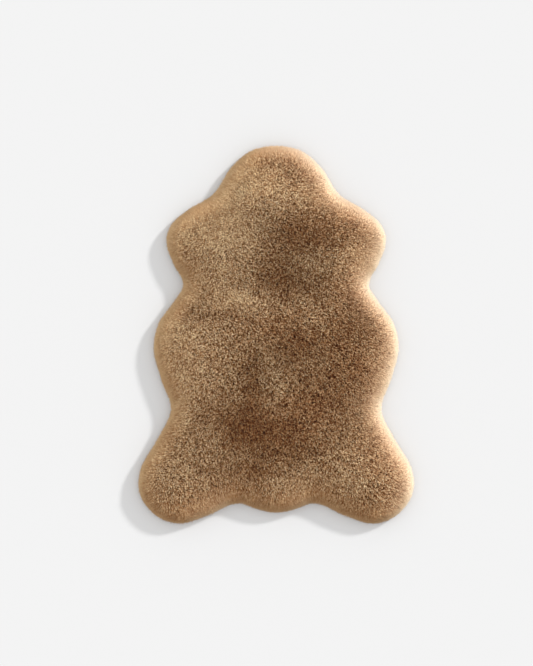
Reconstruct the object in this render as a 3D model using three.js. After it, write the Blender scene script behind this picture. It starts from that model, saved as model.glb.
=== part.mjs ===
// Faux-fur pelt rug, lying flat with the pile up.
// Millimetres, +Z up, +Y towards the head end, +X to the right seen from above.
// The origin is the centre of the bounding box, on the floor.
import * as THREE from 'three';

// ---------------------------------------------------------------------------
// Driving dimensions
// ---------------------------------------------------------------------------
const LENGTH = 900; // head to hind feet, over the tips of the pile
const PILE_SPLAY = 26; // how far the pile stands out past the sewn edge
const PILE_TOP = 38; // floor to the tips of the guard hair
const UNDERFUR_TOP = 27; // floor to the tips of the underfur
const SEAM_ALLOWANCE = 10; // cloth turned in behind the seam
const GAP = 0.3; // clearance between pieces that touch

const SUEDE = 0.9; // thicknesses of the cloths and films
const GROUND = 1.2;
const LATEX = 0.4;
const THREAD = 0.7; // sewing thread diameter
const LABEL = 0.5; // a label folded double

const LABEL_WIDTH = 36;
const LABEL_LENGTH = 20;
const TURNING_GAP = 120; // hand-closed stretch of the seam

const OUTLINE_POINTS = 112; // sections round the outline of every layer
const HALF_LENGTH = LENGTH / 2;

// The right half of the pelt's outline, from the head's tip to the tail's tip.
// Each station is where the outline turns; the left half is its mirror image.
const STATIONS = [
  [0, HALF_LENGTH], // head tip
  [60, 438],
  [108, 398], // cheek
  [150, 335], // nape, where head meets shoulder
  [208, 299],
  [250, 262],
  [262, 222], // shoulder
  [240, 158],
  [221, 122], // arm notch
  [245, 78],
  [280, 28],
  [292, -34], // flank
  [273, -110],
  [251, -177], // waist
  [282, -246],
  [324, -322],
  [324, -382], // hind foot, outer side
  [282, -434],
  [228, -HALF_LENGTH], // hind foot, lowest point
  [160, -430],
  [93, -402], // notch beside the tail
  [42, -417],
  [0, -424], // tail tip
];

// ---------------------------------------------------------------------------
// Heights of the layers, built up from the floor
// ---------------------------------------------------------------------------
const Z = {};
Z.suedeTop = SUEDE;
Z.bobbin = Z.suedeTop + GAP + THREAD / 2;
Z.suedeReturn = Z.bobbin + THREAD / 2 + GAP;
Z.suedeReturnTop = Z.suedeReturn + SUEDE;
Z.groundReturn = Z.suedeReturnTop + GAP;
Z.groundReturnTop = Z.groundReturn + GROUND;
Z.needle = Z.groundReturnTop + GAP + THREAD / 2;
Z.latex = Z.needle + THREAD / 2 + GAP;
Z.latexTop = Z.latex + LATEX;
Z.ground = Z.latexTop + GAP;
Z.groundTop = Z.ground + GROUND;
Z.pile = Z.groundTop + GAP;

// Insets from the tips of the pile, inwards.
const EDGE = PILE_SPLAY; // outermost point of the cloth
const FOLD_RADIUS = 0.6; // rounding of the folded cloth edges
const RETURN_END = EDGE + SEAM_ALLOWANCE;

// ---------------------------------------------------------------------------
// Outline and insets
// ---------------------------------------------------------------------------
function outlineCurve() {
  const right = STATIONS.map(([x, y]) => new THREE.Vector3(x, y, 0));
  const left = STATIONS.slice(1, -1).map(([x, y]) => new THREE.Vector3(-x, y, 0));
  const loop = [...right, ...left.reverse()].reverse(); // counter-clockwise from above
  const curve = new THREE.CatmullRomCurve3(loop, true, 'centripetal');
  curve.arcLengthDivisions = 2400;
  return curve;
}

const pelt = outlineCurve();
const outline = pelt.getSpacedPoints(OUTLINE_POINTS).slice(0, -1);

// Unit normals of the outline, pointing in.
const inward = outline.map((point, i) => {
  const before = outline.at(i - 1);
  const after = outline[(i + 1) % outline.length];
  const along = new THREE.Vector3().subVectors(after, before).normalize();
  return new THREE.Vector3(-along.y, along.x, 0);
});

function ring(inset, z) {
  return outline.map((point, i) => point.clone().addScaledVector(inward[i], inset).setZ(z));
}

// ---------------------------------------------------------------------------
// A closed body from a profile of [inset, z] pairs: the profile runs from the
// rim of the lower cap, out round the edge, to the rim of the upper cap.
// ---------------------------------------------------------------------------
function layeredBody(profile) {
  const rings = profile.map(([inset, z]) => ring(inset, z));
  const count = outline.length;
  const positions = rings.flat().flatMap((p) => [p.x, p.y, p.z]);
  const index = [];
  for (let level = 0; level + 1 < rings.length; level += 1) {
    for (let i = 0; i < count; i += 1) {
      const next = (i + 1) % count;
      const a = level * count + i;
      const b = level * count + next;
      const c = (level + 1) * count + next;
      const d = (level + 1) * count + i;
      index.push(a, b, c, a, c, d);
    }
  }
  const cap = (level, up) => {
    const flat = rings[level].map((p) => new THREE.Vector2(p.x, p.y));
    const base = level * count;
    for (const [a, b, c] of THREE.ShapeUtils.triangulateShape(flat, [])) {
      index.push(base + a, base + (up ? b : c), base + (up ? c : b));
    }
  };
  cap(0, false);
  cap(rings.length - 1, true);
  const geometry = new THREE.BufferGeometry();
  geometry.setAttribute('position', new THREE.Float32BufferAttribute(positions, 3));
  geometry.setIndex(index);
  geometry.computeVertexNormals();
  return geometry;
}

function material(color, roughness) {
  return new THREE.MeshStandardMaterial({ color, roughness, metalness: 0 });
}

function addMesh(group, name, geometry, meshMaterial) {
  const mesh = new THREE.Mesh(geometry, meshMaterial);
  mesh.name = name;
  group.add(mesh);
  return mesh;
}

// ---------------------------------------------------------------------------
// Pile: the short dense underfur, and the guard hair that covers it.
// Both start on the ground cloth and wrap down over the sewn edge.
// ---------------------------------------------------------------------------
const UNDERFUR_EDGE = 9; // inset of the underfur's widest point
const COLLAR = EDGE - GAP; // the pile's inner wall, just outside the cloth
const COLLAR_FOOT = 4.4; // floor to the pile's underside at that wall

function makeUnderfur() {
  return layeredBody([
    [EDGE + 2, Z.pile],
    [COLLAR, Z.pile],
    [COLLAR, COLLAR_FOOT],
    [UNDERFUR_EDGE + 3, COLLAR_FOOT],
    [UNDERFUR_EDGE, 9],
    [UNDERFUR_EDGE + 1, 15],
    [UNDERFUR_EDGE + 6, 21],
    [UNDERFUR_EDGE + 14, 25.4],
    [UNDERFUR_EDGE + 25, UNDERFUR_TOP],
  ]);
}

function makeGuardHair() {
  return layeredBody([
    [UNDERFUR_EDGE + 25, UNDERFUR_TOP + GAP],
    [UNDERFUR_EDGE + 14 - GAP, 25.4 + GAP],
    [UNDERFUR_EDGE + 6 - GAP, 21 + GAP],
    [UNDERFUR_EDGE + 1 - 2 * GAP, 15],
    [UNDERFUR_EDGE - 2 * GAP, 9],
    [UNDERFUR_EDGE + 2, COLLAR_FOOT - 2 * GAP],
    [UNDERFUR_EDGE - 2, 2.2],
    [3, 2.6],
    [0, 8],
    [0.6, 15],
    [4, 23],
    [11, 30],
    [21, 34.8],
    [33, 37.2],
    [46, PILE_TOP],
  ]);
}

// ---------------------------------------------------------------------------
// Cloths, film and pad
// ---------------------------------------------------------------------------
function makeFurGround() {
  return layeredBody([
    [EDGE + GROUND, Z.ground],
    [EDGE + GROUND, Z.groundReturnTop],
    [RETURN_END, Z.groundReturnTop],
    [RETURN_END, Z.groundReturn],
    [EDGE + FOLD_RADIUS, Z.groundReturn],
    [EDGE, Z.groundReturn + FOLD_RADIUS],
    [EDGE, Z.groundTop - FOLD_RADIUS],
    [EDGE + FOLD_RADIUS, Z.groundTop],
  ]);
}

function makeSuedeBacking() {
  return layeredBody([
    [EDGE + FOLD_RADIUS, 0],
    [EDGE, FOLD_RADIUS],
    [EDGE, Z.suedeReturnTop - FOLD_RADIUS],
    [EDGE + FOLD_RADIUS, Z.suedeReturnTop],
    [RETURN_END, Z.suedeReturnTop],
    [RETURN_END, Z.suedeReturn],
    [EDGE + SUEDE, Z.suedeReturn],
    [EDGE + SUEDE, Z.suedeTop],
  ]);
}

function makeLatexBackcoat() {
  const inset = EDGE + GROUND + GAP;
  return layeredBody([
    [inset, Z.latex],
    [inset, Z.latexTop],
  ]);
}

function makeFoamPad() {
  const inset = RETURN_END + 1;
  const low = Z.suedeTop + GAP;
  const high = Z.latex - GAP;
  return layeredBody([
    [inset + FOLD_RADIUS, low],
    [inset, low + FOLD_RADIUS],
    [inset, high - FOLD_RADIUS],
    [inset + FOLD_RADIUS, high],
  ]);
}

// ---------------------------------------------------------------------------
// Threads. The machine seam runs all round except the turning gap, which lies
// on the left thigh and is closed by hand.
// ---------------------------------------------------------------------------
const SEAM_INSET = EDGE + 4.6;
const GAP_SECTIONS = Math.round((TURNING_GAP / pelt.getLength()) * OUTLINE_POINTS);
const THIGH_Y = -235; // middle of the turning gap

function seamPath(first, count, z) {
  const path = [];
  for (let k = 0; k <= count; k += 1) {
    const i = (first + k) % outline.length;
    path.push(outline[i].clone().addScaledVector(inward[i], SEAM_INSET).setZ(z));
  }
  return path;
}

function thread(points) {
  const circle = new THREE.Shape();
  circle.absarc(0, 0, THREAD / 2, 0, 2 * Math.PI);
  return new THREE.ExtrudeGeometry(circle, {
    extrudePath: new THREE.CatmullRomCurve3(points, false, 'centripetal'),
    steps: points.length - 1,
    curveSegments: 3, // per half circle
    bevelEnabled: false,
  });
}

function gapMiddle() {
  let best = 0;
  outline.forEach((p, i) => {
    const error = (q) => Math.abs(q.y - THIGH_Y) + (q.x > 0 ? LENGTH : 0);
    if (error(p) < error(outline[best])) best = i;
  });
  return best;
}

const gapStart = gapMiddle() - Math.floor(GAP_SECTIONS / 2);
const gapEnd = gapStart + GAP_SECTIONS;
const seamSections = OUTLINE_POINTS - GAP_SECTIONS;

function makeSeamThread(z) {
  const points = seamPath(gapEnd, seamSections, z);
  // Stop short of the hand-sewn stretch at both ends.
  points[0].lerp(points[1], 0.1);
  points.at(-1).lerp(points.at(-2), 0.1);
  return thread(points);
}

// The ladder stitch lies in the crack between the two folded edges.
function makeGapThread() {
  const crack = (Z.suedeReturnTop + Z.groundReturn) / 2;
  const points = [];
  for (let k = 0; k <= GAP_SECTIONS; k += 1) {
    const i = (gapStart + k) % outline.length;
    const inset = EDGE - GAP - THREAD / 2;
    points.push(outline[i].clone().addScaledVector(inward[i], inset).setZ(crack));
  }
  return thread(points);
}

// ---------------------------------------------------------------------------
// Care label, from the seam at the tail's tip out under the pile
// ---------------------------------------------------------------------------
function makeCareLabel() {
  const seamY = STATIONS.at(-1)[1] + EDGE - 2 * GAP;
  const side = new THREE.Shape();
  side.moveTo(seamY, 2.8);
  side.lineTo(seamY - LABEL_LENGTH, 0.9);
  side.lineTo(seamY - LABEL_LENGTH, 0.9 + LABEL);
  side.lineTo(seamY, 2.8 + LABEL);
  side.closePath();
  const geometry = new THREE.ExtrudeGeometry(side, { depth: LABEL_WIDTH, bevelEnabled: false });
  // The profile's x is the part's y and its y is the part's z.
  geometry.applyMatrix4(new THREE.Matrix4().set(
    0, 0, 1, -LABEL_WIDTH / 2,
    1, 0, 0, 0,
    0, 1, 0, 0,
    0, 0, 0, 1,
  ));
  return geometry;
}

// ---------------------------------------------------------------------------
// Assembly
// ---------------------------------------------------------------------------
const group = new THREE.Group();
const brownThread = material('#5d4632', 0.7);

addMesh(group, 'guard_hair', makeGuardHair(), material('#8c6946', 0.9));
addMesh(group, 'underfur', makeUnderfur(), material('#4a2e19', 0.95));
addMesh(group, 'fur_ground', makeFurGround(), material('#6b4c33', 0.95));
addMesh(group, 'latex_backcoat', makeLatexBackcoat(), material('#d8cdb8', 0.6));
addMesh(group, 'foam_pad', makeFoamPad(), material('#e6e2d8', 0.9));
addMesh(group, 'suede_backing', makeSuedeBacking(), material('#8a6a4c', 0.95));
addMesh(group, 'seam_needle_thread', makeSeamThread(Z.needle), brownThread);
addMesh(group, 'seam_bobbin_thread', makeSeamThread(Z.bobbin), brownThread);
addMesh(group, 'gap_closing_thread', makeGapThread(), brownThread);
addMesh(group, 'care_label', makeCareLabel(), material('#f1efe9', 0.8));

export default group;
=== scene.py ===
"""Looks of the faux-fur pelt rug: fibres, cloths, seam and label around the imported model."""

import math

import bpy
import numpy as np
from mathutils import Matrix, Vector


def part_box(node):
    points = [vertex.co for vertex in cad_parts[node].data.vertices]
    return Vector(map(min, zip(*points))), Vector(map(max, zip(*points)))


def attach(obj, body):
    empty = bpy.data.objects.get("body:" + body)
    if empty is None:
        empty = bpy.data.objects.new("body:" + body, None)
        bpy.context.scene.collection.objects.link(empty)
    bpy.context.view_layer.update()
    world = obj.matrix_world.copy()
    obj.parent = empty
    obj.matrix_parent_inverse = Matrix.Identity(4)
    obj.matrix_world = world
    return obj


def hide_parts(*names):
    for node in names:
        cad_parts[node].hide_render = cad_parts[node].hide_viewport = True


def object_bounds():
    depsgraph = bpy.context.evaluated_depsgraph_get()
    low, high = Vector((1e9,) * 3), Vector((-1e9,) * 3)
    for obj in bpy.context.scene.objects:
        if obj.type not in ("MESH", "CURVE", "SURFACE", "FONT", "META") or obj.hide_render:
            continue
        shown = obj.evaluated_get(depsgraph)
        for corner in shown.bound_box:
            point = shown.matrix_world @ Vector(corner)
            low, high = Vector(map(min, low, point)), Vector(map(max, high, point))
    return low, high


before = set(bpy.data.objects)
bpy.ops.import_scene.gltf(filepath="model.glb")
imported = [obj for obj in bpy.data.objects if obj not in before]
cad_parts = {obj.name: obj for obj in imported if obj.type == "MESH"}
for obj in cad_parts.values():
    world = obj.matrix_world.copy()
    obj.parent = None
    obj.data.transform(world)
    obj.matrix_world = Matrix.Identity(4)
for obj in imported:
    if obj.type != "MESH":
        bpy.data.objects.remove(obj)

CAD_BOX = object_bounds()
MM = 0.001
BODY = "root"
SEED = 20

# ---------------------------------------------------------------------------
# Camera, floor and light
# ---------------------------------------------------------------------------
LENS = 100.0
SENSOR = 36.0
VIEW_HEIGHT = 1585.08 * MM  # what the camera sees from top to bottom, at the rug's widest outline
RUG_RIGHT_OF_CENTRE = 22.848 * MM  # where the rug's middle lies in the view
RUG_BELOW_CENTRE = 4.046 * MM
WIDEST_Z = 8 * MM


def make_camera():
    data = bpy.data.cameras.new("camera")
    data.lens = LENS
    data.sensor_width = SENSOR
    camera = bpy.data.objects.new("camera", data)
    bpy.context.collection.objects.link(camera)
    distance = VIEW_HEIGHT * LENS / SENSOR
    camera.location = (-RUG_RIGHT_OF_CENTRE, RUG_BELOW_CENTRE, WIDEST_Z + distance)
    bpy.context.scene.camera = camera


SKY = 0.86
FUR = bpy.data.collections.new("fur")  # what the skimming light falls on
bpy.context.scene.collection.children.link(FUR)


def aim(obj, toward):
    direction = Vector(toward) - obj.location
    obj.rotation_euler = direction.to_track_quat("-Z", "Y").to_euler()


def make_light():
    scene = bpy.context.scene
    scene.view_settings.view_transform = "Standard"
    world = bpy.data.worlds.new("studio")
    world.use_nodes = True
    background = world.node_tree.nodes["Background"]
    background.inputs["Color"].default_value = (1.0, 1.0, 1.0, 1.0)
    background.inputs["Strength"].default_value = SKY
    scene.world = world

    make_sun("key", 36, 23.5, 2.12, 5, (1.0, 1.0, 1.0))
    skim = make_sun("skim", 25, 27, 5.6, 14, (0.96, 1.0, 1.04))
    skim.light_linking.receiver_collection = FUR
    fill = make_sun("fill", 155, 35, 0.5, 40, (1.0, 1.0, 1.0))
    fill.light_linking.receiver_collection = FUR


def make_sun(name, azimuth, elevation, strength, spread, colour):
    """A distant light: where it stands in degrees round from +X and up, and how wide it looks."""
    data = bpy.data.lights.new(name, "SUN")
    data.energy = strength
    data.angle = math.radians(spread)
    data.color = colour
    sun = bpy.data.objects.new(name, data)
    azimuth = math.radians(azimuth)
    elevation = math.radians(elevation)
    sun.location = (
        3 * math.cos(azimuth) * math.cos(elevation),
        3 * math.sin(azimuth) * math.cos(elevation),
        3 * math.sin(elevation),
    )
    aim(sun, (0, 0, 0))
    bpy.context.collection.objects.link(sun)
    return sun


def make_floor():
    half = 40.0
    mesh = bpy.data.meshes.new("floor")
    corners = [(-half, -half, 0), (half, -half, 0), (half, half, 0), (-half, half, 0)]
    mesh.from_pydata(corners, [], [(0, 1, 2, 3)])
    floor = bpy.data.objects.new("floor", mesh)
    floor.location.z = -0.2 * MM
    bpy.context.collection.objects.link(floor)
    material = bpy.data.materials.new("studio_floor")
    material.use_nodes = True
    shader = material.node_tree.nodes["Principled BSDF"]
    shader.inputs["Base Color"].default_value = (0.80, 0.80, 0.80, 1)
    shader.inputs["Roughness"].default_value = 0.9
    shader.inputs["Specular IOR Level"].default_value = 0.0
    mesh.materials.append(material)


# ---------------------------------------------------------------------------
# The pelt's outline, read from the widest section of the CAD pile
# ---------------------------------------------------------------------------
OUTLINE_STEPS = 1440


def catmull_loop(points, steps_each):
    """A closed centripetal Catmull-Rom curve through points."""
    before = np.roll(points, 1, 0)
    after = np.roll(points, -1, 0)
    beyond = np.roll(points, -2, 0)
    t0 = np.zeros(len(points))
    t1 = t0 + np.sqrt(np.linalg.norm(points - before, axis=1))
    t2 = t1 + np.sqrt(np.linalg.norm(after - points, axis=1))
    t3 = t2 + np.sqrt(np.linalg.norm(beyond - after, axis=1))

    def mix(a, b, ta, tb, t):
        w = ((t - ta) / (tb - ta))[:, None]
        return a * (1 - w) + b * w

    rows = []
    for k in range(steps_each):
        t = t1 + (t2 - t1) * k / steps_each
        a1 = mix(before, points, t0, t1, t)
        a2 = mix(points, after, t1, t2, t)
        a3 = mix(after, beyond, t2, t3, t)
        b1 = mix(a1, a2, t0, t2, t)
        b2 = mix(a2, a3, t1, t3, t)
        rows.append(mix(b1, b2, t1, t2, t))
    return np.stack(rows, 1).reshape(-1, 2)


def even_steps(loop, count):
    """The closed loop again, with count points at equal distances."""
    closed = np.vstack([loop, loop[:1]])
    run = np.r_[0, np.cumsum(np.linalg.norm(np.diff(closed, axis=0), axis=1))]
    at = np.linspace(0, run[-1], count, endpoint=False)
    return np.stack([np.interp(at, run, closed[:, i]) for i in (0, 1)], 1), run[-1]


def read_outline():
    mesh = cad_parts["guard_hair"].data
    co = np.zeros(len(mesh.vertices) * 3)
    mesh.vertices.foreach_get("co", co)
    co = co.reshape(-1, 3)
    section = np.unique(np.round(co[np.abs(co[:, 2] - WIDEST_Z) < 1e-5, :2], 6), axis=0)
    order = np.argsort(np.arctan2(section[:, 1], section[:, 0]))
    return even_steps(catmull_loop(section[order], 24), OUTLINE_STEPS)


OUTLINE, PERIMETER = read_outline()
_along = np.roll(OUTLINE, -1, 0) - np.roll(OUTLINE, 1, 0)
_along /= np.linalg.norm(_along, axis=1)[:, None]
OUTWARD = np.stack([_along[:, 1], -_along[:, 0]], 1)


def at_steps(u):
    """Points on the outline and their outward directions, u steps round it."""
    i = np.floor(u).astype(int) % OUTLINE_STEPS
    j = (i + 1) % OUTLINE_STEPS
    f = (u - np.floor(u))[:, None]
    return OUTLINE[i] * (1 - f) + OUTLINE[j] * f, OUTWARD[i] * (1 - f) + OUTWARD[j] * f


# ---------------------------------------------------------------------------
# Distance from the outline, on a grid
# ---------------------------------------------------------------------------
GRID = 3 * MM
_half = np.abs(OUTLINE).max(0) + 4 * GRID
GRID_X = np.arange(-_half[0], _half[0], GRID)
GRID_Y = np.arange(-_half[1], _half[1], GRID)


def inset_grid():
    """How far inside the outline each grid point is; negative outside."""
    result = np.zeros((len(GRID_Y), len(GRID_X)))
    for j, y in enumerate(GRID_Y):
        dx = GRID_X[:, None] - OUTLINE[None, :, 0]
        dy = y - OUTLINE[None, :, 1]
        squared = dx * dx + dy * dy
        near = squared.argmin(1)
        rows = np.arange(len(GRID_X))
        inside = dx[rows, near] * OUTWARD[near, 0] + (y - OUTLINE[near, 1]) * OUTWARD[near, 1] < 0
        result[j] = np.sqrt(squared[rows, near]) * np.where(inside, 1, -1)
    return result


def sample(grid, x, y):
    u = np.clip((x - GRID_X[0]) / GRID, 0, len(GRID_X) - 1.001)
    v = np.clip((y - GRID_Y[0]) / GRID, 0, len(GRID_Y) - 1.001)
    i = u.astype(int)
    j = v.astype(int)
    fu = u - i
    fv = v - j
    low = grid[j, i] * (1 - fu) + grid[j, i + 1] * fu
    high = grid[j + 1, i] * (1 - fu) + grid[j + 1, i + 1] * fu
    return low * (1 - fv) + high * fv


INSET = inset_grid()
_slope_y, _slope_x = np.gradient(INSET, GRID)


def outward_at(x, y):
    """Unit vectors away from the middle, across the nearest edge."""
    v = -np.stack([sample(_slope_x, x, y), sample(_slope_y, x, y)], 1)
    return v / np.maximum(np.linalg.norm(v, axis=1), 1e-3)[:, None]


# ---------------------------------------------------------------------------
# Noise
# ---------------------------------------------------------------------------
def smooth_noise(x, y, scale, seed):
    """Value noise from -1 to 1 with features of about this size in metres."""
    rng = np.random.default_rng(seed)
    table = rng.uniform(-1, 1, (256, 256))
    u = x / scale + 57.3
    v = y / scale + 31.7
    i = np.floor(u).astype(int)
    j = np.floor(v).astype(int)
    fu = u - i
    fv = v - j
    fu = fu * fu * (3 - 2 * fu)
    fv = fv * fv * (3 - 2 * fv)
    a = table[j % 256, i % 256]
    b = table[j % 256, (i + 1) % 256]
    c = table[(j + 1) % 256, i % 256]
    d = table[(j + 1) % 256, (i + 1) % 256]
    return (a * (1 - fu) + b * fu) * (1 - fv) + (c * (1 - fu) + d * fu) * fv


# ---------------------------------------------------------------------------
# Mesh helpers
# ---------------------------------------------------------------------------
def add_piece(name, mesh, material, slot, *nodes):
    piece = bpy.data.objects.new(name, mesh)
    bpy.context.collection.objects.link(piece)
    mesh.materials.append(material)
    if slot in ("guard_hair", "underfur"):
        FUR.objects.link(piece)
    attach(piece, BODY)
    if nodes:
        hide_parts(*nodes)
    return piece


def mesh_from_arrays(name, points, loops, sizes):
    """A mesh from vertex positions, the loops' vertex numbers and each face's size."""
    mesh = bpy.data.meshes.new(name)
    mesh.vertices.add(len(points))
    mesh.vertices.foreach_set("co", np.ascontiguousarray(points, np.float32).ravel())
    mesh.loops.add(len(loops))
    mesh.loops.foreach_set("vertex_index", np.ascontiguousarray(loops, np.int32))
    mesh.polygons.add(len(sizes))
    starts = np.r_[0, np.cumsum(sizes)[:-1]].astype(np.int32)
    mesh.polygons.foreach_set("loop_start", starts)
    mesh.polygons.foreach_set("use_smooth", np.ones(len(sizes), bool))
    mesh.update(calc_edges=True)
    return mesh


def add_values(mesh, name, values):
    mesh.attributes.new(name, "FLOAT", "POINT").data.foreach_set(
        "value", np.ascontiguousarray(values, np.float32)
    )


# ---------------------------------------------------------------------------
# Fibres: each is a closed, tapered, three-sided lock of hair
# ---------------------------------------------------------------------------
SIDES = 3
RINGS = 2  # rings of points below the tip
TAPER = np.array([0.9, 1.0])
POINTS_EACH = SIDES * RINGS + 1


def lock_faces():
    """Loops and face sizes of one lock, counted from its own first point."""
    faces = [list(range(SIDES))[::-1]]
    for ring in range(RINGS - 1):
        for side in range(SIDES):
            a = ring * SIDES + side
            b = ring * SIDES + (side + 1) % SIDES
            faces.append([a, b, b + SIDES, a + SIDES])
    for side in range(SIDES):
        a = (RINGS - 1) * SIDES + side
        b = (RINGS - 1) * SIDES + (side + 1) % SIDES
        faces.append([a, b, SIDES * RINGS])
    return faces


def lock_points(paths, radius):
    """(n, POINTS_EACH, 3) points of locks along paths (n, RINGS + 1, 3)."""
    chord = paths[:, -1] - paths[:, 0]
    chord /= np.linalg.norm(chord, axis=1)[:, None]
    helper = np.where(np.abs(chord[:, 2:]) < 0.9, [[0.0, 0.0, 1.0]], [[1.0, 0.0, 0.0]])
    across = np.cross(chord, helper)
    across /= np.linalg.norm(across, axis=1)[:, None]
    other = np.cross(chord, across)
    rows = []
    for ring in range(RINGS):
        for side in range(SIDES):
            angle = 2 * math.pi * side / SIDES
            offset = across * math.cos(angle) + other * math.sin(angle)
            rows.append(paths[:, ring] + offset * (radius * TAPER[ring])[:, None])
    rows.append(paths[:, -1])
    return np.stack(rows, 1)


def add_bake_cells(mesh, count, one_loop):
    """A map for baking: each lock has a cell of its own, up which it runs from root to tip."""
    side = math.ceil(math.sqrt(count))
    point = np.arange(POINTS_EACH)
    up = np.minimum(point // SIDES, RINGS) / RINGS
    across = np.where(point < SIDES * RINGS, (point % SIDES) / (SIDES - 1), 0.5)
    place = np.stack([0.15 + 0.7 * across, 0.15 + 0.7 * up], 1)[one_loop]
    cell = np.stack([np.arange(count) % side, np.arange(count) // side], 1)
    uv = (place[None] + cell[:, None]) / side
    layer = mesh.uv_layers.new(name="OFBake")
    layer.data.foreach_set("uv", uv.astype(np.float32).ravel())


def lock_mesh(name, paths, radius, shade, dye, cream):
    count = len(paths)
    points = lock_points(paths, radius)
    faces = lock_faces()
    one_loop = np.concatenate(faces)
    sizes = np.tile([len(f) for f in faces], count)
    loops = (one_loop[None] + POINTS_EACH * np.arange(count)[:, None]).ravel()
    mesh = mesh_from_arrays(name, points.reshape(-1, 3), loops, sizes)
    along = np.r_[np.repeat(np.arange(RINGS) / RINGS, SIDES), 1.0]
    dyed = dye[:, :1] + (dye[:, 1:] - dye[:, :1]) * along[None]
    add_bake_cells(mesh, count, one_loop)
    add_values(mesh, "along", dyed.ravel())
    add_values(mesh, "shade", np.repeat(shade, POINTS_EACH))
    # cream: how much of the painted highlight, a pale cream, each lock carries
    add_values(mesh, "cream", np.repeat(cream, POINTS_EACH))
    return mesh


# ---------------------------------------------------------------------------
# The two surfaces that the fibres run between, as (inset, height) profiles
# ---------------------------------------------------------------------------
ROOT_CORNERS = np.array([(13, 5), (11, 9), (12, 15), (16, 20.5), (23, 24.4), (34, 26), (60, 26)]) * MM


def rounded_off(points, times=3):
    """An open line with its corners cut off again and again (Chaikin)."""
    for _ in range(times):
        ahead = points[:-1] * 0.75 + points[1:] * 0.25
        behind = points[:-1] * 0.25 + points[1:] * 0.75
        points = np.vstack([points[:1], np.stack([ahead, behind], 1).reshape(-1, 2), points[-1:]])
    return points


ROOT_PROFILE = rounded_off(ROOT_CORNERS)
LEVEL = ROOT_PROFILE[ROOT_PROFILE[:, 1] > 16 * MM]  # the part that the field's roots lie on
FIELD_INSET = 20 * MM  # beyond this the roots lie on the nearly level field
LOCK_SPACING = 1.2 * MM
TUFT_SPACING = 1.6 * MM
FIELD_LENGTH = 15.5 * MM
RIM_LENGTH = 9 * MM
STRAY_SHARE = 0.03  # of the rim's locks, that stand out past the others
LOWEST_HAIR = 1.2 * MM


def jittered_field(spacing, seed):
    """Roots over the level field: x, y."""
    rng = np.random.default_rng(seed)
    x, y = np.meshgrid(np.arange(GRID_X[0], GRID_X[-1], spacing), np.arange(GRID_Y[0], GRID_Y[-1], spacing))
    x = x.ravel() + rng.uniform(-0.5, 0.5, x.size) * spacing
    y = y.ravel() + rng.uniform(-0.5, 0.5, y.size) * spacing
    keep = sample(INSET, x, y) > FIELD_INSET
    return x[keep], y[keep]


def field_roots(spacing, seed):
    x, y = jittered_field(spacing, seed)
    inset = sample(INSET, x, y)
    z = np.interp(inset, LEVEL[:, 0], LEVEL[:, 1])
    slope = np.interp(inset, LEVEL[:, 0], np.gradient(LEVEL[:, 1], LEVEL[:, 0]))
    outward = outward_at(x, y)
    normal = np.column_stack([outward * slope[:, None], np.ones(len(x))])
    normal /= np.linalg.norm(normal, axis=1)[:, None]
    return np.column_stack([x, y, z]), normal, outward, inset


def rim_roots(spacing, seed):
    rng = np.random.default_rng(seed)
    last = [[FIELD_INSET, np.interp(FIELD_INSET, LEVEL[:, 0], LEVEL[:, 1])]]
    profile = np.vstack([ROOT_PROFILE[ROOT_PROFILE[:, 0] < FIELD_INSET], last])
    run = np.r_[0, np.cumsum(np.linalg.norm(np.diff(profile, axis=0), axis=1))]
    rows = int(run[-1] / spacing) + 1
    columns = int(PERIMETER / spacing)
    s, t = np.meshgrid(np.arange(columns), np.arange(rows))
    s = (s.ravel() + rng.uniform(-0.5, 0.5, s.size)) / columns * OUTLINE_STEPS
    t = (t.ravel() + rng.uniform(0, 1, t.size)) / rows * run[-1]
    edge, outward = at_steps(s)
    inset = np.interp(t, run, profile[:, 0])
    z = np.interp(t, run, profile[:, 1])
    tangent_run = np.gradient(profile, run, axis=0)
    d_inset = np.interp(t, run, tangent_run[:, 0])
    d_z = np.interp(t, run, tangent_run[:, 1])
    normal = np.column_stack([outward * d_z[:, None], d_inset])
    normal /= np.linalg.norm(normal, axis=1)[:, None]
    place = np.column_stack([edge - outward * inset[:, None], z])
    return place, normal, outward, inset


def nearest_tuft(x, y, seed):
    """Each root's tuft, from a jittered grid: the tuft's centre and a number of its own."""
    rng = np.random.default_rng(seed)
    size = 1024  # squares along each side of the grid, which repeats
    origin = 400  # the square under the middle of the rug
    jitter = rng.uniform(0.1, 0.9, (size, size, 2))
    ident = rng.uniform(0, 1, (size, size, 3))
    u = x / TUFT_SPACING + origin
    v = y / TUFT_SPACING + origin
    i = np.floor(u).astype(int)
    j = np.floor(v).astype(int)
    best = np.full(len(x), 1e9)
    centre = np.zeros((len(x), 2))
    own = np.zeros((len(x), 3))
    for di in (-1, 0, 1):
        for dj in (-1, 0, 1):
            ci = (i + di) % size
            cj = (j + dj) % size
            cu = i + di + jitter[cj, ci, 0]
            cv = j + dj + jitter[cj, ci, 1]
            d = (u - cu) ** 2 + (v - cv) ** 2
            closer = d < best
            best[closer] = d[closer]
            middle = (np.stack([cu, cv], 1) - origin) * TUFT_SPACING
            centre[closer] = middle[closer]
            own[closer] = ident[cj, ci][closer]
    return centre, own
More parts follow.
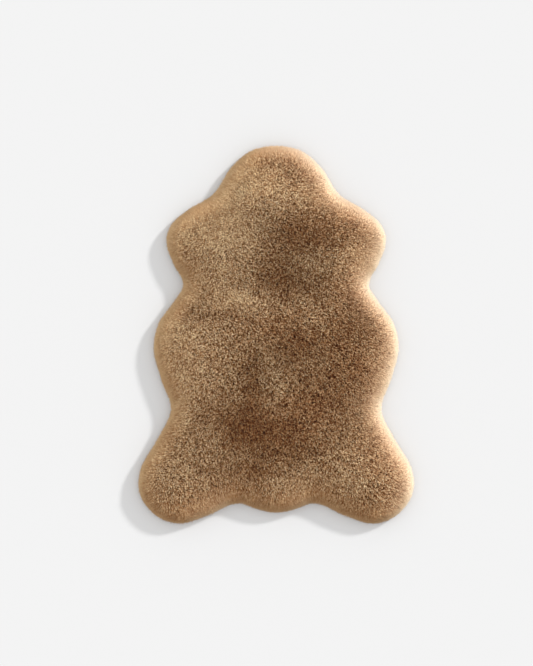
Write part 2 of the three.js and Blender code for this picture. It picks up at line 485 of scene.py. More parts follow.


# The strengths in this list, its last column, are not all the author's own. They began as the output of a
# separate least-squares program and were then changed.
PATCHES = [
    # name, x, y, half width, half length in mm, and how much lighter or darker it is
    ("crown of the head", -70, 362, 65, 52, 0.56),
    ("middle of the head", 5, 364, 60, 45, 0.22),
    ("left of the neck", -115, 310, 60, 40, 0.25),
    ("right of the neck", 60, 325, 60, 35, 0.40),
    ("left shoulder", -165, 235, 110, 75, 0.62),
    ("right shoulder", 205, 185, 45, 60, 0.30),
    ("top of the right shoulder", 130, 285, 60, 30, 0.15),
    ("between the shoulders", 45, 240, 60, 50, -0.48),
    ("right of that", 125, 240, 70, 40, -0.28),
    ("neck", 5, 130, 65, 60, -0.50),
    ("under the right shoulder", 135, 115, 45, 50, -0.15),
    ("spot by the neck", 90, 175, 45, 25, 0.25),
    ("spot under the neck", 65, 75, 30, 45, 0.10),
    ("left arm notch", -150, 112, 100, 45, 0.28),
    # painted light on a ridge
    ("painted light on the ridge above the crease", -75, 88, 65, 24, 0.42),
    # painted shade in a crease
    ("painted shade in the crease across the back", -140, 48, 65, 14, -0.30),
    ("left flank", -220, 10, 90, 60, 0.35),
    ("lower left flank", -215, -100, 70, 80, 0.40),
    ("middle of the back", 50, -15, 75, 48, -0.54),
    ("right flank", 160, 10, 45, 55, -0.30),
    ("lower right flank", 105, -150, 75, 75, -0.50),
    # painted light: an edge on the side the light comes from
    ("edge of the right flank", 262, -100, 24, 70, 0.10),
    # painted shade in the furrow, here and in the next line
    ("painted shade in the furrow left of the spine", -55, -120, 28, 70, -0.50),
    ("painted shade at the furrow's lower end", -85, -215, 45, 55, -0.55),
    ("left hip", -145, -185, 45, 40, -0.30),
    ("rump", -5, -235, 75, 70, -0.68),
    ("above the tail", -50, -325, 40, 30, -0.40),
    ("right foot", 190, -325, 80, 70, 0.22),
    ("left foot", -255, -335, 60, 70, 0.32),
    ("tail", 35, -355, 60, 35, 0.30),
    ("inner edge of the right flank", 180, -75, 45, 60, -0.42),
    # painted light: an edge on the side the light comes from
    ("right hip's edge", 210, -205, 25, 30, 0.25),
    ("rump's right side", 80, -260, 40, 40, -0.20),
    ("left flank's edge", -255, -15, 30, 50, 0.16),
    ("left hip's edge", -220, -205, 30, 55, 0.20),
    ("middle of the spine", 0, -120, 28, 28, 0.18),
    ("left of the middle", -50, 22, 55, 24, -0.18),
    ("under the left shoulder", -72, 215, 35, 40, 0.15),
]
CORE_TONE = -0.90  # natural logarithm
RIM_TONE = 0.76
LIT_SIDE = np.array([0.996, -0.087])  # the rim's paler tone, painted light, reaches furthest in on this side, which faces the light; the rim's droop reaches as far
# Where the key light comes from: the rim facing it is painted darker.
SUNWARD = np.array([0.64, 0.77])
PAINTED_HIGHLIGHT_SIDE = np.array([0.95, 0.3])  # the side the light comes from, where the rim's tips are painted palest: a painted highlight


def tone_at(x, y):
    """How light the pile is painted: lighter where it lies brushed flat, darker where it stands up, with
    the light and the shade in its gaps painted in; the crease and furrows are painted shade, the ridge and
    the right-hand edges painted light.
    """
    tone = np.full(len(x), CORE_TONE)
    for _, px, py, wide, long, lighter in PATCHES:
        u = (x - px * MM) / (wide * MM)
        v = (y - py * MM) / (long * MM)
        tone += lighter * np.exp(-(u * u + v * v))
    tone += 0.06 * smooth_noise(x, y, 45 * MM, 11) + 0.12 * smooth_noise(x, y, 14 * MM, 12)
    return np.exp(tone)


def grow(roots, normal, outward, inset, seed):
    """Paths of the locks from their roots, how light each is, and the dye at its root and tip."""
    rng = np.random.default_rng(seed)
    count = len(roots)
    x, y = roots[:, 0], roots[:, 1]
    centre, own = nearest_tuft(x, y, SEED)
    from_edge = np.maximum(inset - 12 * MM, 0)
    edge = np.exp(-from_edge / (38 * MM))
    lit = np.clip(outward @ LIT_SIDE, 0, 1)
    # The rim reaches further in on the lit side: there its paler tone is painted light.
    rim = np.exp(-from_edge / ((36 + 8 * lit) * MM))
    swirl = math.pi * (0.35 * smooth_noise(centre[:, 0], centre[:, 1], 110 * MM, 1) - 0.5)
    swirl += 0.9 * (own[:, 0] - 0.5) * math.pi + rng.normal(0, 0.25, count)
    lean = np.stack([np.cos(swirl), np.sin(swirl)], 1) * (0.36 * (1 - edge))[:, None]
    spread = np.arctan2(outward[:, 1], outward[:, 0]) + rng.normal(0, 0.16, count)
    lean += np.stack([np.cos(spread), np.sin(spread)], 1) * (0.75 * np.exp(-from_edge / (28 * MM)))[:, None]
    lean3 = np.column_stack([lean, np.zeros(count)])
    size = FIELD_LENGTH - (FIELD_LENGTH - RIM_LENGTH) * np.clip((24 * MM - inset) / (12 * MM), 0, 1)
    size *= 0.90 + 0.16 * own[:, 1] * (1 - edge) + rng.uniform(-0.05, 0.05, count)
    size *= np.where(rng.uniform(0, 1, count) < STRAY_SHARE * rim, 1.22, 1.0)
    reach = 0.75 + 0.25 * own[:, 2] + rng.uniform(-0.1, 0.1, count)
    gather = np.column_stack([centre - roots[:, :2], np.zeros(count)])
    gather *= (0.45 * (1 - rim))[:, None]
    curl = rng.uniform(0, 2 * math.pi, count)
    curl3 = np.stack([np.cos(curl), np.sin(curl), np.zeros(count)], 1) * (1.2 * MM * (1 - rim))[:, None]
    paths = []
    for k in range(RINGS + 1):
        s = k / RINGS
        paths.append(
            roots
            + normal * (size * (s - 0.22 * s * s))[:, None]
            + lean3 * (size * reach * s**1.6)[:, None]
            + gather * s
            + curl3 * s**3
            - np.array([0, 0, 1.0]) * (rim * size * 0.30 * s * s)[:, None]
        )
    tone = tone_at(x, y)
    facing = np.clip(outward @ SUNWARD, 0, 1)
    outermost = np.clip((26 * MM - inset) / (10 * MM), 0, 1)
    # The rim's tone carries painted shade: it is painted darker along the bottom edge, the side away from
    # the light, and darker on the side facing the key light, to offset that light.
    rim_tone = RIM_TONE * (1 - 0.2 * np.clip(-outward[:, 1], 0, 1))
    rim_tone *= 1 - facing * (0.23 + 0.14 * outermost)
    # Painted highlight: on the side the light comes from, the rim's tips are painted towards pale cream and
    # their mottle is calmed.
    painted_highlight_share = np.clip(outward @ PAINTED_HIGHLIGHT_SIDE + 0.15, 0, 1)
    contrast = np.clip(1.7 - 1.8 * tone, 0.42, 1.4) * (1 - edge) ** 1.2 * (1 - 0.7 * painted_highlight_share * rim)
    mottle = 2.4 * contrast * (own[:, 1] - 0.5)
    mottle += (1.3 * contrast + 0.07) * rng.uniform(-1, 1, count)
    # A lock's lightness: the field's painted tone, blended at the rim into the rim's tone with its painted
    # shade, times the random mottle.
    shade = tone ** (1 - rim) * rim_tone**rim * np.maximum(1 + mottle, 0.12)
    # The roots are lighter near the edge and where the tone is painted lighter.
    dye = np.column_stack([np.clip(0.2 + 0.5 * edge + 0.5 * tone, 0, 0.9), np.ones(count)])
    cream = 0.72 * painted_highlight_share * rim**2
    return np.stack(paths, 1), shade, dye, cream


FRINGE_SPACING = 1.5 * MM
FRINGE_INSETS = (13 * MM, 25 * MM)
FRINGE_ROOT_Z = 4.9 * MM  # just inside the underfur's lower face


def grow_fringe(seed):
    """Locks lying flat under the rim, that cover the band between the cloths and the pile's edge."""
    rng = np.random.default_rng(seed)
    rows = int((FRINGE_INSETS[1] - FRINGE_INSETS[0]) / FRINGE_SPACING)
    count = rows * int(PERIMETER / FRINGE_SPACING)
    edge, outward = at_steps(rng.uniform(0, OUTLINE_STEPS, count))
    inset = rng.uniform(*FRINGE_INSETS, count)
    roots = np.column_stack([edge - outward * inset[:, None], np.full(count, FRINGE_ROOT_Z)])
    turn = np.arctan2(outward[:, 1], outward[:, 0]) + rng.normal(0, 0.2, count)
    size = rng.uniform(7, 10, count) * MM
    reach = np.column_stack([np.cos(turn), np.sin(turn), np.full(count, -0.02)]) * size[:, None]
    sag = np.array([0, 0, -1.0]) * (rng.uniform(0.4, 1.0, count) * MM)[:, None]
    paths = np.stack([roots + reach * s + sag * s * s for s in np.linspace(0, 1, RINGS + 1)], 1)
    radius = rng.uniform(0.5, 0.8, count) * MM
    shade = rng.uniform(0.35, 0.75, count)
    dye = np.column_stack([np.full(count, 0.45), np.ones(count)])
    return paths, radius, shade, dye, np.zeros(count)


# ---------------------------------------------------------------------------
# Materials
# ---------------------------------------------------------------------------
def new_material(name):
    material = bpy.data.materials.new(name)
    material.use_nodes = True
    tree = material.node_tree
    return material, tree, tree.nodes["Principled BSDF"]


def ramp(tree, factor, stops):
    node = tree.nodes.new("ShaderNodeValToRGB")
    node.color_ramp.interpolation = "LINEAR"
    while len(node.color_ramp.elements) < len(stops):
        node.color_ramp.elements.new(0.5)
    for element, (place, colour) in zip(node.color_ramp.elements, stops):
        element.position = place
        element.color = (*colour, 1)
    tree.links.new(factor, node.inputs["Fac"])
    return node.outputs["Color"]


def attribute(tree, name):
    node = tree.nodes.new("ShaderNodeAttribute")
    node.attribute_name = name
    return node.outputs["Fac"]


def mix_colour(tree, blend, factor, a, b):
    node = tree.nodes.new("ShaderNodeMix")
    node.data_type = "RGBA"
    node.blend_type = blend
    for socket, value in (("Factor", factor), ("A", a), ("B", b)):
        matching = [s for s in node.inputs if s.name == socket and s.enabled]
        target = matching[0]
        if hasattr(value, "links"):
            tree.links.new(value, target)
        elif isinstance(value, tuple):
            target.default_value = (*value, 1)
        else:
            target.default_value = value
    return next(s for s in node.outputs if s.enabled)


def dye_stops():
    """Colours from the brown of the roots to the cream of the tips: browner as it gets darker."""
    stops = []
    for lightness in (0.0, 0.06, 0.12, 0.2, 0.32, 0.5, 0.72, 1.0):
        colour = (0.95 * lightness, 0.755 * lightness**1.55, 0.465 * lightness**2)
        stops.append((lightness, colour))
    return stops


# The pale colour of the painted highlight on the lit side of the rim.
PAINTED_HIGHLIGHT_CREAM = (0.95, 0.84, 0.66)


def guard_hair_material():
    material, tree, shader = new_material("tipped_acrylic_guard_hair")
    lightness = tree.nodes.new("ShaderNodeMath")
    lightness.operation = "MULTIPLY"
    tree.links.new(attribute(tree, "along"), lightness.inputs[0])
    tree.links.new(attribute(tree, "shade"), lightness.inputs[1])
    dyed = ramp(tree, lightness.outputs[0], dye_stops())
    # The cream attribute mixes the painted highlight into the dyed colour.
    cream = ramp(tree, lightness.outputs[0], [(0.0, (0.0, 0.0, 0.0)), (1.0, PAINTED_HIGHLIGHT_CREAM)])
    base = mix_colour(tree, "MIX", attribute(tree, "cream"), dyed, cream)
    tree.links.new(base, shader.inputs["Base Color"])
    shader.inputs["Roughness"].default_value = 0.62
    shader.inputs["Specular IOR Level"].default_value = 0.05
    shader.inputs["Sheen Weight"].default_value = 0.06
    shader.inputs["Sheen Tint"].default_value = (0.95, 0.80, 0.60, 1)
    shader.inputs["Sheen Roughness"].default_value = 0.5
    return material


PILE_ROWS = 18  # pieces that the guard hair is split into, from head to tail


def make_guard_hair():
    material = guard_hair_material()
    parts = [
        (*field_roots(LOCK_SPACING, SEED + 1), SEED + 2),
        (*rim_roots(LOCK_SPACING, SEED + 3), SEED + 4),
    ]
    grown = [grow(*part) for part in parts]
    paths = np.concatenate([g[0] for g in grown])
    paths[..., 2] = np.maximum(paths[..., 2], LOWEST_HAIR)  # the lowest tips lie on the floor
    shade = np.concatenate([g[1] for g in grown])
    dye = np.concatenate([g[2] for g in grown])
    cream = np.concatenate([g[3] for g in grown])
    rng = np.random.default_rng(SEED + 5)
    radius = rng.uniform(0.6, 0.9, len(paths)) * MM
    order = np.argsort(-paths[:, 0, 1], kind="stable")
    for row, members in enumerate(np.array_split(order, PILE_ROWS)):
        name = f"guard_hair_row_{row + 1:02d}"
        mesh = lock_mesh(name, *(part[members] for part in (paths, radius, shade, dye, cream)))
        add_piece(name, mesh, material, "guard_hair", "guard_hair")
    mesh = lock_mesh("guard_hair_fringe", *grow_fringe(SEED + 6))
    add_piece("guard_hair_fringe", mesh, material, "guard_hair", "guard_hair")


# ---------------------------------------------------------------------------
# Layers: closed bodies from a profile of (inset, height) pairs in millimetres,
# from the rim of the lower face out round the edge to the rim of the upper
# ---------------------------------------------------------------------------
CAP_RINGS = 20  # rings of points from the rim of a face to its middle


def ring_points(inset, z, steps):
    keep = slice(None, None, OUTLINE_STEPS // steps)
    flat = OUTLINE[keep] - OUTWARD[keep] * inset
    return np.column_stack([flat, np.full(len(flat), z)])


def layer_mesh(name, profile, steps, ripple=None):
    """ripple(x, y, z) says how much higher a point lies than the profile has it."""
    rim = [ring_points(inset * MM, z * MM, steps) for inset, z in profile]
    shrink = np.arange(1, CAP_RINGS)[:, None] / CAP_RINGS * [[1, 1, 0]] + [[0, 0, 1]]
    lower = [rim[0] * k for k in shrink]
    upper = [rim[-1] * k for k in shrink[::-1]]
    rings = lower + rim + upper
    middle = [[0, 0, rim[0][0, 2]], [0, 0, rim[-1][0, 2]]]
    points = np.vstack([*rings, middle])
    if ripple:
        points[:, 2] += ripple(points[:, 0], points[:, 1], points[:, 2])
    i = np.arange(steps)
    after = (i + 1) % steps
    start = np.arange(len(rings) - 1)[:, None] * steps
    quads = np.stack([start + i, start + after, start + steps + after, start + steps + i], -1)
    last = (len(rings) - 1) * steps
    low, high = len(points) - 2, len(points) - 1
    fans = [np.stack([after, i, np.full(steps, low)], 1)]
    fans.append(np.stack([last + i, last + after, np.full(steps, high)], 1))
    loops = np.r_[quads.ravel(), np.concatenate(fans).ravel()]
    sizes = np.r_[np.full(quads.size // 4, 4), np.full(2 * steps, 3)]
    return mesh_from_arrays(name, points, loops, sizes)


def rounded(inset, low, high, radius, turns=4):
    """The profile of a rounded outer edge, from below to above."""
    angles = [math.pi / 2 * k / turns for k in range(turns + 1)]
    centre = inset + radius
    below = [(centre - radius * math.sin(a), low + radius - radius * math.cos(a)) for a in angles]
    above = [(centre - radius * math.cos(a), high - radius + radius * math.sin(a)) for a in angles]
    return below + above


def outline_area(inset):
    ring = ring_points(inset, 0, EDGE_STEPS)
    after = np.roll(ring, -1, 0)
    return abs((ring[:, 0] * after[:, 1] - ring[:, 1] * after[:, 0]).sum() / 2)


def cut_size(inset):
    """Width, length and area of a cloth cut along the outline at this inset."""
    ring = ring_points(inset, 0, EDGE_STEPS)
    width, length = (ring[:, :2].max(0) - ring[:, :2].min(0)).tolist()
    return (width, length), outline_area(inset)


def height(node, corner):
    """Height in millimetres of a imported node's underside, corner 0, or its top, corner 1."""
    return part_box(node)[corner][2] / MM


# Insets and thicknesses of the cloths, in millimetres.
EDGE_STEPS = 720
BAND = (CAD_BOX[1][0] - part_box("suede_backing")[1][0]) / MM  # pile's tips to the sewn edge
SEAM_ALLOWANCE = 10
SUEDE = 0.9
GROUND = 1.2
SEAM_INSET = BAND + 4.6
RETURN_END = BAND + SEAM_ALLOWANCE


def soft_ripple(depth, seed, scale=55 * MM):
    def ripple(x, y, z):
        return depth * smooth_noise(x, y, scale, seed)

    return ripple


def edge_pucker(depth, seed):
    """Small gathers where the seam pulls the cloth in, dying out 25 mm from the edge."""

    def ripple(x, y, z):
        inset = sample(INSET, x, y) - BAND * MM
        near = np.clip(1 - inset / (25 * MM), 0, 1) ** 2
        gathers = smooth_noise(x, y, 4 * MM, seed) * 0.6 + smooth_noise(x, y, 9 * MM, seed + 1) * 0.4
        return depth * (near * gathers * 0.8 + 0.4 * smooth_noise(x, y, 60 * MM, seed + 2))

    return ripple


def turned_cloth(inset, low, high, cloth, upward):
    """Profile of a cloth whose edge is turned in: over it if upward, else under it."""
    fold = rounded(inset, low, high, (high - low) / 2.4)
    inside = inset + cloth
    crease = [(inside, high - cloth), (inside, low + cloth)]
    if upward:
        return fold + [(RETURN_END, high), (RETURN_END, high - cloth)] + crease
    return crease + [(RETURN_END, low + cloth), (RETURN_END, low)] + fold


def make_suede_backing():
    low, high = height("suede_backing", 0), height("suede_backing", 1)
    profile = turned_cloth(BAND, low, high, SUEDE, upward=True)
    pucker = edge_pucker(0.25 * MM, 41)

    def ripple(x, y, z):
        return np.maximum(pucker(x, y, z), low * MM - z)  # nothing dips below the floor

    mesh = layer_mesh("suede_backing_cloth", profile, EDGE_STEPS, ripple)
    cloth = add_piece("suede_backing_cloth", mesh, suede_material(), "suede", "suede_backing")
    flat, area = cut_size((BAND - SEAM_ALLOWANCE - 2) * MM)


def make_fur_ground():
    low, high = height("fur_ground", 0), height("fur_ground", 1)
    profile = turned_cloth(BAND, low, high, GROUND, upward=False)
    mesh = layer_mesh("fur_ground_cloth", profile, EDGE_STEPS // 2, soft_ripple(0.1 * MM, 51))
    cloth = add_piece("fur_ground_cloth", mesh, knit_material(), "knit_ground", "fur_ground")
    flat, area = cut_size((BAND - SEAM_ALLOWANCE - 3.8) * MM)


def make_latex_backcoat():
    low, high = height("latex_backcoat", 0), height("latex_backcoat", 1)
    inset = BAND + GROUND + 0.3
    profile = rounded(inset, low, high, 0.15)
    mesh = layer_mesh("latex_film", profile, EDGE_STEPS // 2, soft_ripple(0.1 * MM, 51))
    add_piece("latex_film", mesh, latex_material(), "latex", "latex_backcoat")


def make_foam_pad():
    low, high = height("foam_pad", 0), height("foam_pad", 1)
    mesh = layer_mesh("foam_pad_sheet", rounded(RETURN_END + 1, low, high, 1.2), EDGE_STEPS // 2)
    pad = add_piece("foam_pad_sheet", mesh, foam_material(), "foam", "foam_pad")


UNDERFUR_PROFILE = [
    (28, 8.3), (25.8, 8.3), (25.8, 4.6), (14, 4.8), (12, 6.5), (11, 9), (11, 12), (12.5, 15),
    (15, 18), (18, 20.5), (21, 22.6), (25, 24.2), (30, 25.2), (36, 25.5),
]


def make_underfur():
    def tufts(x, y, z):
        """The upper face is in small heaps, as the dense fibres clump."""
        up = np.clip((z - 15 * MM) / (8 * MM), 0, 1)
        return up * (0.7 * MM * smooth_noise(x, y, 5 * MM, 31) + 0.4 * MM * smooth_noise(x, y, 12 * MM, 32))

    mesh = layer_mesh("underfur_body", UNDERFUR_PROFILE, EDGE_STEPS, tufts)
    heights = np.zeros(len(mesh.vertices) * 3)
    mesh.vertices.foreach_get("co", heights)
    # rim: how much lighter the body is painted low down at the rim, so the gaps between the rim's locks
    # show less dark; its top, deep under the locks, is painted dark as shade.
    add_values(mesh, "rim", np.clip((24.5 * MM - heights[2::3]) / (8 * MM), 0, 0.55))
    add_piece("underfur_body", mesh, underfur_material(), "underfur", "underfur")


# ---------------------------------------------------------------------------
# Threads: tubes along sewn paths
# ---------------------------------------------------------------------------
THREAD_RADIUS = 0.26 * MM
THREAD_SIDES = 6
STITCH = 3.0 * MM
RUNG = 4.0 * MM
PLY_PITCH = 1.1 * MM  # length of one turn of the thread's twist


def on_outline(s, inset, z):
    """Points at distances s round the outline, in metres from its first point."""
    edge, out = at_steps(np.asarray(s) / PERIMETER * OUTLINE_STEPS)
    return np.column_stack([edge - out * np.asarray(inset)[:, None], z])


def tube_mesh(name, path, radius):
    """A closed tube with flat ends along a path; its attributes follow the twist of the ply."""
    along = np.gradient(path, axis=0)
    along /= np.linalg.norm(along, axis=1)[:, None]
    across = np.cross(along, [0.31, 0.17, 0.94])
    across /= np.linalg.norm(across, axis=1)[:, None]
    other = np.cross(along, across)
    angle = 2 * math.pi * np.arange(THREAD_SIDES) / THREAD_SIDES
    offset = across[:, None] * np.cos(angle)[None, :, None] + other[:, None] * np.sin(angle)[None, :, None]
    points = (path[:, None] + radius * offset).reshape(-1, 3)
    count = len(path)
    i = np.arange(THREAD_SIDES)
    after = (i + 1) % THREAD_SIDES
    start = np.arange(count - 1)[:, None] * THREAD_SIDES
    quads = np.stack([start + i, start + after, start + THREAD_SIDES + after, start + THREAD_SIDES + i], -1)
    ends = np.r_[i[::-1], (count - 1) * THREAD_SIDES + i]
    loops = np.r_[quads.ravel(), ends]
    sizes = np.r_[np.full(quads.size // 4, 4), [THREAD_SIDES, THREAD_SIDES]]
    mesh = mesh_from_arrays(name, points, loops, sizes)
    run = np.r_[0, np.cumsum(np.linalg.norm(np.diff(path, axis=0), axis=1))]
    add_values(mesh, "run", np.repeat(run, THREAD_SIDES))
    add_values(mesh, "turn_cos", np.tile(np.cos(angle), count))
    add_values(mesh, "turn_sin", np.tile(np.sin(angle), count))
    return mesh


def turning_gap():
    """Distances round the outline where the hand-closed stretch starts and ends."""
    low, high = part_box("gap_closing_thread")
    step = PERIMETER / OUTLINE_STEPS
    x, y = OUTLINE[:, 0], OUTLINE[:, 1]
    inside = (x < 0) & (y > low[1]) & (y < high[1])
    members = np.nonzero(inside)[0]
    return members.min() * step, members.max() * step


def make_seam_threads():
    """Lockstitch: one thread over the turned-in cloths, one under, linked between them."""
    gap_start, gap_end = turning_gap()
    length = PERIMETER - (gap_end - gap_start)
    count = int(length / STITCH)
    share = np.array([0.0, 0.08, 0.2, 0.5, 0.8, 0.92])
    s = (gap_end + (np.arange(count)[:, None] + share[None]) * length / count).ravel()
    lock = 3.25
    over = height("seam_needle_thread", 1) - 0.45
    under = height("seam_bobbin_thread", 0) + 0.45
    wander = 0.25 * MM * smooth_noise(s, s * 0, 2.2 * STITCH, 61)
    for name, node, top, sign in (
        ("seam_needle_stitches", "seam_needle_thread", over, 1),
        ("seam_bobbin_stitches", "seam_bobbin_thread", under, -1),
    ):
        drop = sign * np.array([0.5, 0.12, 0, 0.12, 0.5])
        bow = np.r_[lock + 0.2 * sign, top - drop]
        z = np.tile(bow, count) * MM
        path = on_outline(s, SEAM_INSET * MM + wander, z)
        add_piece(name, tube_mesh(name, path, THREAD_RADIUS), thread_material(), "thread", node)


def make_gap_thread():
    """Ladder stitch: rungs across the crack between the folds, joined by runs inside them."""
    start, end = turning_gap()
    count = int((end - start) / RUNG)
    upper = height("fur_ground", 0) + 0.5
    lower = height("suede_backing", 1) - 0.5
    inside, outside = BAND + 0.9, BAND - 0.35
    s, inset, z = [], [], []
    for k in range(count + 1):
        at = start + k * RUNG
        first, second = (lower, upper) if k % 2 else (upper, lower)
        steps = [(-0.5, inside, first), (-0.12, outside + 0.25, first), (0, outside, (first + second) / 2)]
        steps += [(0.12, outside + 0.25, second), (0.5, inside, second)]
        for ds, at_inset, at_z in steps:
            s.append(at + ds * MM)
            inset.append(at_inset * MM)
            z.append(at_z * MM)
    path = on_outline(s, inset, z)
    name = "gap_ladder_stitches"
    add_piece(name, tube_mesh(name, path, THREAD_RADIUS), thread_material(), "thread", "gap_closing_thread")


# ---------------------------------------------------------------------------
# Care label: a blank woven tape, folded double, its raw ends caught in the seam
# ---------------------------------------------------------------------------
TAPE = 0.16  # thickness, in millimetres


def make_care_label():
    low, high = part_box("care_label")
    seam_y, tip_y = high[1] / MM, low[1] / MM
    rise = (high[2] - low[2]) / MM - 0.5
    run = seam_y - tip_y
    fold = 0.5 / 2 - TAPE / 2
    line = []
    for k in range(25):
        line.append((run * k / 24 * 0.985, 0.5 - TAPE / 2))
    for k in range(1, 8):
        angle = math.pi * k / 8
        line.append((run * 0.985 + fold * math.sin(angle), 0.25 + fold * math.cos(angle)))
    for k in range(25):
        line.append((run * (1 - k / 24) * 0.985, TAPE / 2))
    line = np.array(line)
    direction = np.gradient(line, axis=0)
    direction /= np.linalg.norm(direction, axis=1)[:, None]
    normal = np.stack([-direction[:, 1], direction[:, 0]], 1)
    section = np.vstack([line + normal * TAPE / 2, (line - normal * TAPE / 2)[::-1]])
    across = np.linspace(low[0], high[0], 29)
    rings = []
    for x in across:
        share = section[:, 0] / run
        curl = 0.12 * share**2 * math.sin(2.2 * x / high[0] + 0.6)
        z = low[2] / MM + rise * (1 - share) + section[:, 1] + curl
        rings.append(np.column_stack([np.full(len(section), x), (seam_y - section[:, 0]) * MM, z * MM]))
    points = np.vstack(rings)
    n = len(section)
    i = np.arange(n)
    after = (i + 1) % n
    start = np.arange(len(across) - 1)[:, None] * n
    quads = np.stack([start + i, start + n + i, start + n + after, start + after], -1)
    half = n // 2
    strip = np.arange(half - 1)
    ends = []
    for first, flip in ((0, False), ((len(across) - 1) * n, True)):
        face = np.stack([strip, strip + 1, n - 2 - strip, n - 1 - strip], 1) + first
        ends.append(face[:, ::-1] if flip else face)
    loops = np.r_[quads.ravel(), np.concatenate(ends).ravel()]
    mesh = mesh_from_arrays("care_label_tape", points, loops, np.full(len(loops) // 4, 4))
    label = add_piece("care_label_tape", mesh, label_material(), "label", "care_label")


# ---------------------------------------------------------------------------
# Materials of the layers, threads and label
# ---------------------------------------------------------------------------
def texture(tree, kind, scale, **values):
    """A procedural texture on the object's own coordinates, in metres."""
    node = tree.nodes.new("ShaderNodeTex" + kind)
    place = tree.nodes.new("ShaderNodeTexCoord")
    stretch = values.pop("stretch", (1, 1, 1))
    mapping = tree.nodes.new("ShaderNodeMapping")
    mapping.inputs["Scale"].default_value = stretch
    tree.links.new(place.outputs["Object"], mapping.inputs["Vector"])
    tree.links.new(mapping.outputs["Vector"], node.inputs["Vector"])
    node.inputs["Scale"].default_value = scale
    for name, value in values.items():
        node.inputs[name].default_value = value
    return node


def arithmetic(tree, operation, a, b):
    node = tree.nodes.new("ShaderNodeMath")
    node.operation = operation
    for socket, value in zip(node.inputs, (a, b)):
        if hasattr(value, "links"):
            tree.links.new(value, socket)
        else:
            socket.default_value = value
    return node.outputs[0]


def add_bump(tree, shader, height_output, strength, distance):
    node = tree.nodes.new("ShaderNodeBump")
    node.inputs["Strength"].default_value = strength
    node.inputs["Distance"].default_value = distance
    tree.links.new(height_output, node.inputs["Height"])
    tree.links.new(node.outputs["Normal"], shader.inputs["Normal"])


def suede_material():
    """Brushed microsuede: a fine nap with hand-brushed light and dark strokes."""
    material, tree, shader = new_material("brushed_microsuede")
    nap = texture(tree, "Noise", 1600, Detail=3, Roughness=0.6)
    strokes = texture(tree, "Noise", 22, Detail=3, Roughness=0.55, stretch=(1, 0.35, 1))
    fine = arithmetic(tree, "MULTIPLY", nap.outputs["Fac"], 0.4)
    broad = arithmetic(tree, "MULTIPLY", strokes.outputs["Fac"], 0.6)
    mixed = arithmetic(tree, "ADD", fine, broad)
    stops = [(0.32, (0.17, 0.105, 0.06)), (0.5, (0.25, 0.16, 0.095)), (0.66, (0.33, 0.225, 0.14))]
    tree.links.new(ramp(tree, mixed, stops), shader.inputs["Base Color"])
    shader.inputs["Roughness"].default_value = 0.95
    shader.inputs["Specular IOR Level"].default_value = 0.1
    shader.inputs["Sheen Weight"].default_value = 0.35
    shader.inputs["Sheen Roughness"].default_value = 0.4
    shader.inputs["Sheen Tint"].default_value = (0.75, 0.6, 0.45, 1)
    add_bump(tree, shader, nap.outputs["Fac"], 0.5, 0.3 * MM)
    return material


def knit_material():
    """Weft-knitted ground: rows of loops 1.2 mm apart."""
    material, tree, shader = new_material("knitted_ground")
    rows = texture(tree, "Wave", 260, Distortion=1.0, Detail=1)
    rows.bands_direction = "Y"
    columns = texture(tree, "Wave", 200, Distortion=0.6, Detail=1)
    columns.bands_direction = "X"
    loops = arithmetic(tree, "MULTIPLY", rows.outputs["Fac"], columns.outputs["Fac"])
    # Darker in the dips between the loops: painted shade.
    stops = [(0.1, (0.07, 0.04, 0.022)), (0.6, (0.16, 0.095, 0.055)), (1.0, (0.22, 0.14, 0.085))]
    tree.links.new(ramp(tree, loops, stops), shader.inputs["Base Color"])
    shader.inputs["Roughness"].default_value = 0.95
    shader.inputs["Specular IOR Level"].default_value = 0.1
    add_bump(tree, shader, loops, 0.7, 0.4 * MM)
    return material


def latex_material():
    """Rolled-on latex: satin, with faint roller streaks and thin spots."""
    material, tree, shader = new_material("latex_backcoat")
    streaks = texture(tree, "Noise", 60, Detail=4, stretch=(1, 0.08, 1))
    colour = ramp(tree, streaks.outputs["Fac"], [(0.3, (0.52, 0.45, 0.35)), (0.7, (0.70, 0.64, 0.53))])
    tree.links.new(colour, shader.inputs["Base Color"])
    shader.inputs["Roughness"].default_value = 0.5
    add_bump(tree, shader, streaks.outputs["Fac"], 0.3, 0.2 * MM)
    return material


def foam_material():
    """Open-cell foam: small pores of about a millimetre."""
    material, tree, shader = new_material("open_cell_foam")
    cells = texture(tree, "Voronoi", 900)
    # The pores are painted dark: painted shade in the hollows.
    stops = [(0.05, (0.42, 0.38, 0.30)), (0.35, (0.74, 0.71, 0.63)), (0.8, (0.86, 0.84, 0.78))]
    tree.links.new(ramp(tree, cells.outputs["Distance"], stops), shader.inputs["Base Color"])
    shader.inputs["Roughness"].default_value = 0.9
    add_bump(tree, shader, cells.outputs["Distance"], 0.8, 0.5 * MM)
    return material


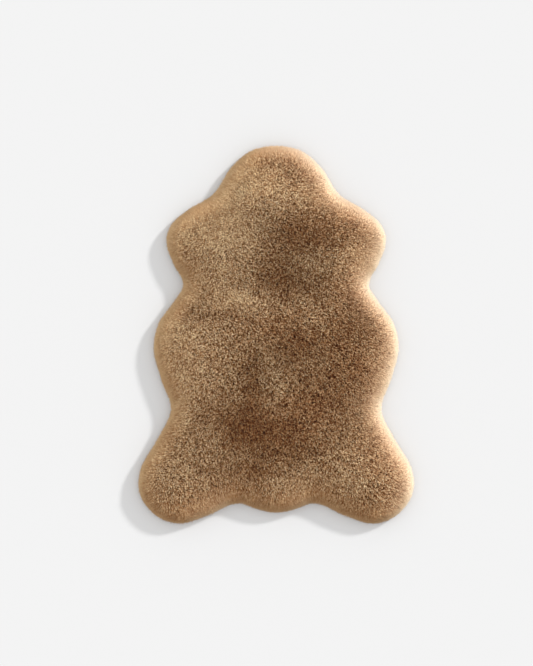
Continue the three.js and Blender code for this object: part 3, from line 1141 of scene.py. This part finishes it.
def thread_material():
    """Spun thread of three plies twisted together."""
    found = bpy.data.materials.get("twisted_thread")
    if found:
        return found
    material, tree, shader = new_material("twisted_thread")
    turn = arithmetic(tree, "MULTIPLY", attribute(tree, "run"), 2 * math.pi / PLY_PITCH)
    sine = arithmetic(tree, "MULTIPLY", arithmetic(tree, "SINE", turn, 0), attribute(tree, "turn_cos"))
    cosine = arithmetic(tree, "MULTIPLY", arithmetic(tree, "COSINE", turn, 0), attribute(tree, "turn_sin"))
    twist = arithmetic(tree, "ADD", sine, cosine)
    level = arithmetic(tree, "ADD", arithmetic(tree, "MULTIPLY", twist, 0.5), 0.5)
    # Darker in the grooves between the plies: painted shade.
    stops = [(0.0, (0.06, 0.035, 0.02)), (0.6, (0.14, 0.085, 0.05)), (1.0, (0.20, 0.13, 0.08))]
    tree.links.new(ramp(tree, level, stops), shader.inputs["Base Color"])
    shader.inputs["Roughness"].default_value = 0.7
    shader.inputs["Sheen Weight"].default_value = 0.2
    add_bump(tree, shader, level, 0.6, 0.1 * MM)
    return material


def label_material():
    """Blank satin tape: fine warp-faced weave."""
    material, tree, shader = new_material("blank_satin_tape")
    warp = texture(tree, "Wave", 900, Distortion=0.4, Detail=1)
    warp.bands_direction = "X"
    weft = texture(tree, "Wave", 420, Distortion=0.6, Detail=1)
    weft.bands_direction = "Y"
    weave = arithmetic(tree, "MULTIPLY", warp.outputs["Fac"], weft.outputs["Fac"])
    # Darker in the dips of the weave: painted shade.
    colour = ramp(tree, weave, [(0.0, (0.66, 0.64, 0.59)), (0.6, (0.82, 0.81, 0.77))])
    tree.links.new(colour, shader.inputs["Base Color"])
    shader.inputs["Roughness"].default_value = 0.45
    shader.inputs["Sheen Weight"].default_value = 0.3
    add_bump(tree, shader, weave, 0.4, 0.08 * MM)
    return material


def underfur_material():
    material, tree, shader = new_material("dense_underfur")
    clumps = texture(tree, "Noise", 700, Detail=3)
    clumped = arithmetic(tree, "MULTIPLY", clumps.outputs["Fac"], 0.5)
    level = arithmetic(tree, "ADD", clumped, attribute(tree, "rim"))
    # Dark where the body lies deep under the locks: the brown of the roots and painted shade inside the
    # pile; lighter towards the rim.
    stops = [(0.15, (0.10, 0.045, 0.018)), (0.35, (0.22, 0.11, 0.05)), (1.0, (0.55, 0.36, 0.20))]
    tree.links.new(ramp(tree, level, stops), shader.inputs["Base Color"])
    shader.inputs["Roughness"].default_value = 0.95
    shader.inputs["Specular IOR Level"].default_value = 0.05
    add_bump(tree, shader, clumps.outputs["Fac"], 0.8, 1.0 * MM)
    return material


make_camera()
make_light()
make_floor()
make_suede_backing()
make_foam_pad()
make_latex_backcoat()
make_fur_ground()
make_seam_threads()
make_gap_thread()
make_care_label()
make_underfur()
make_guard_hair()
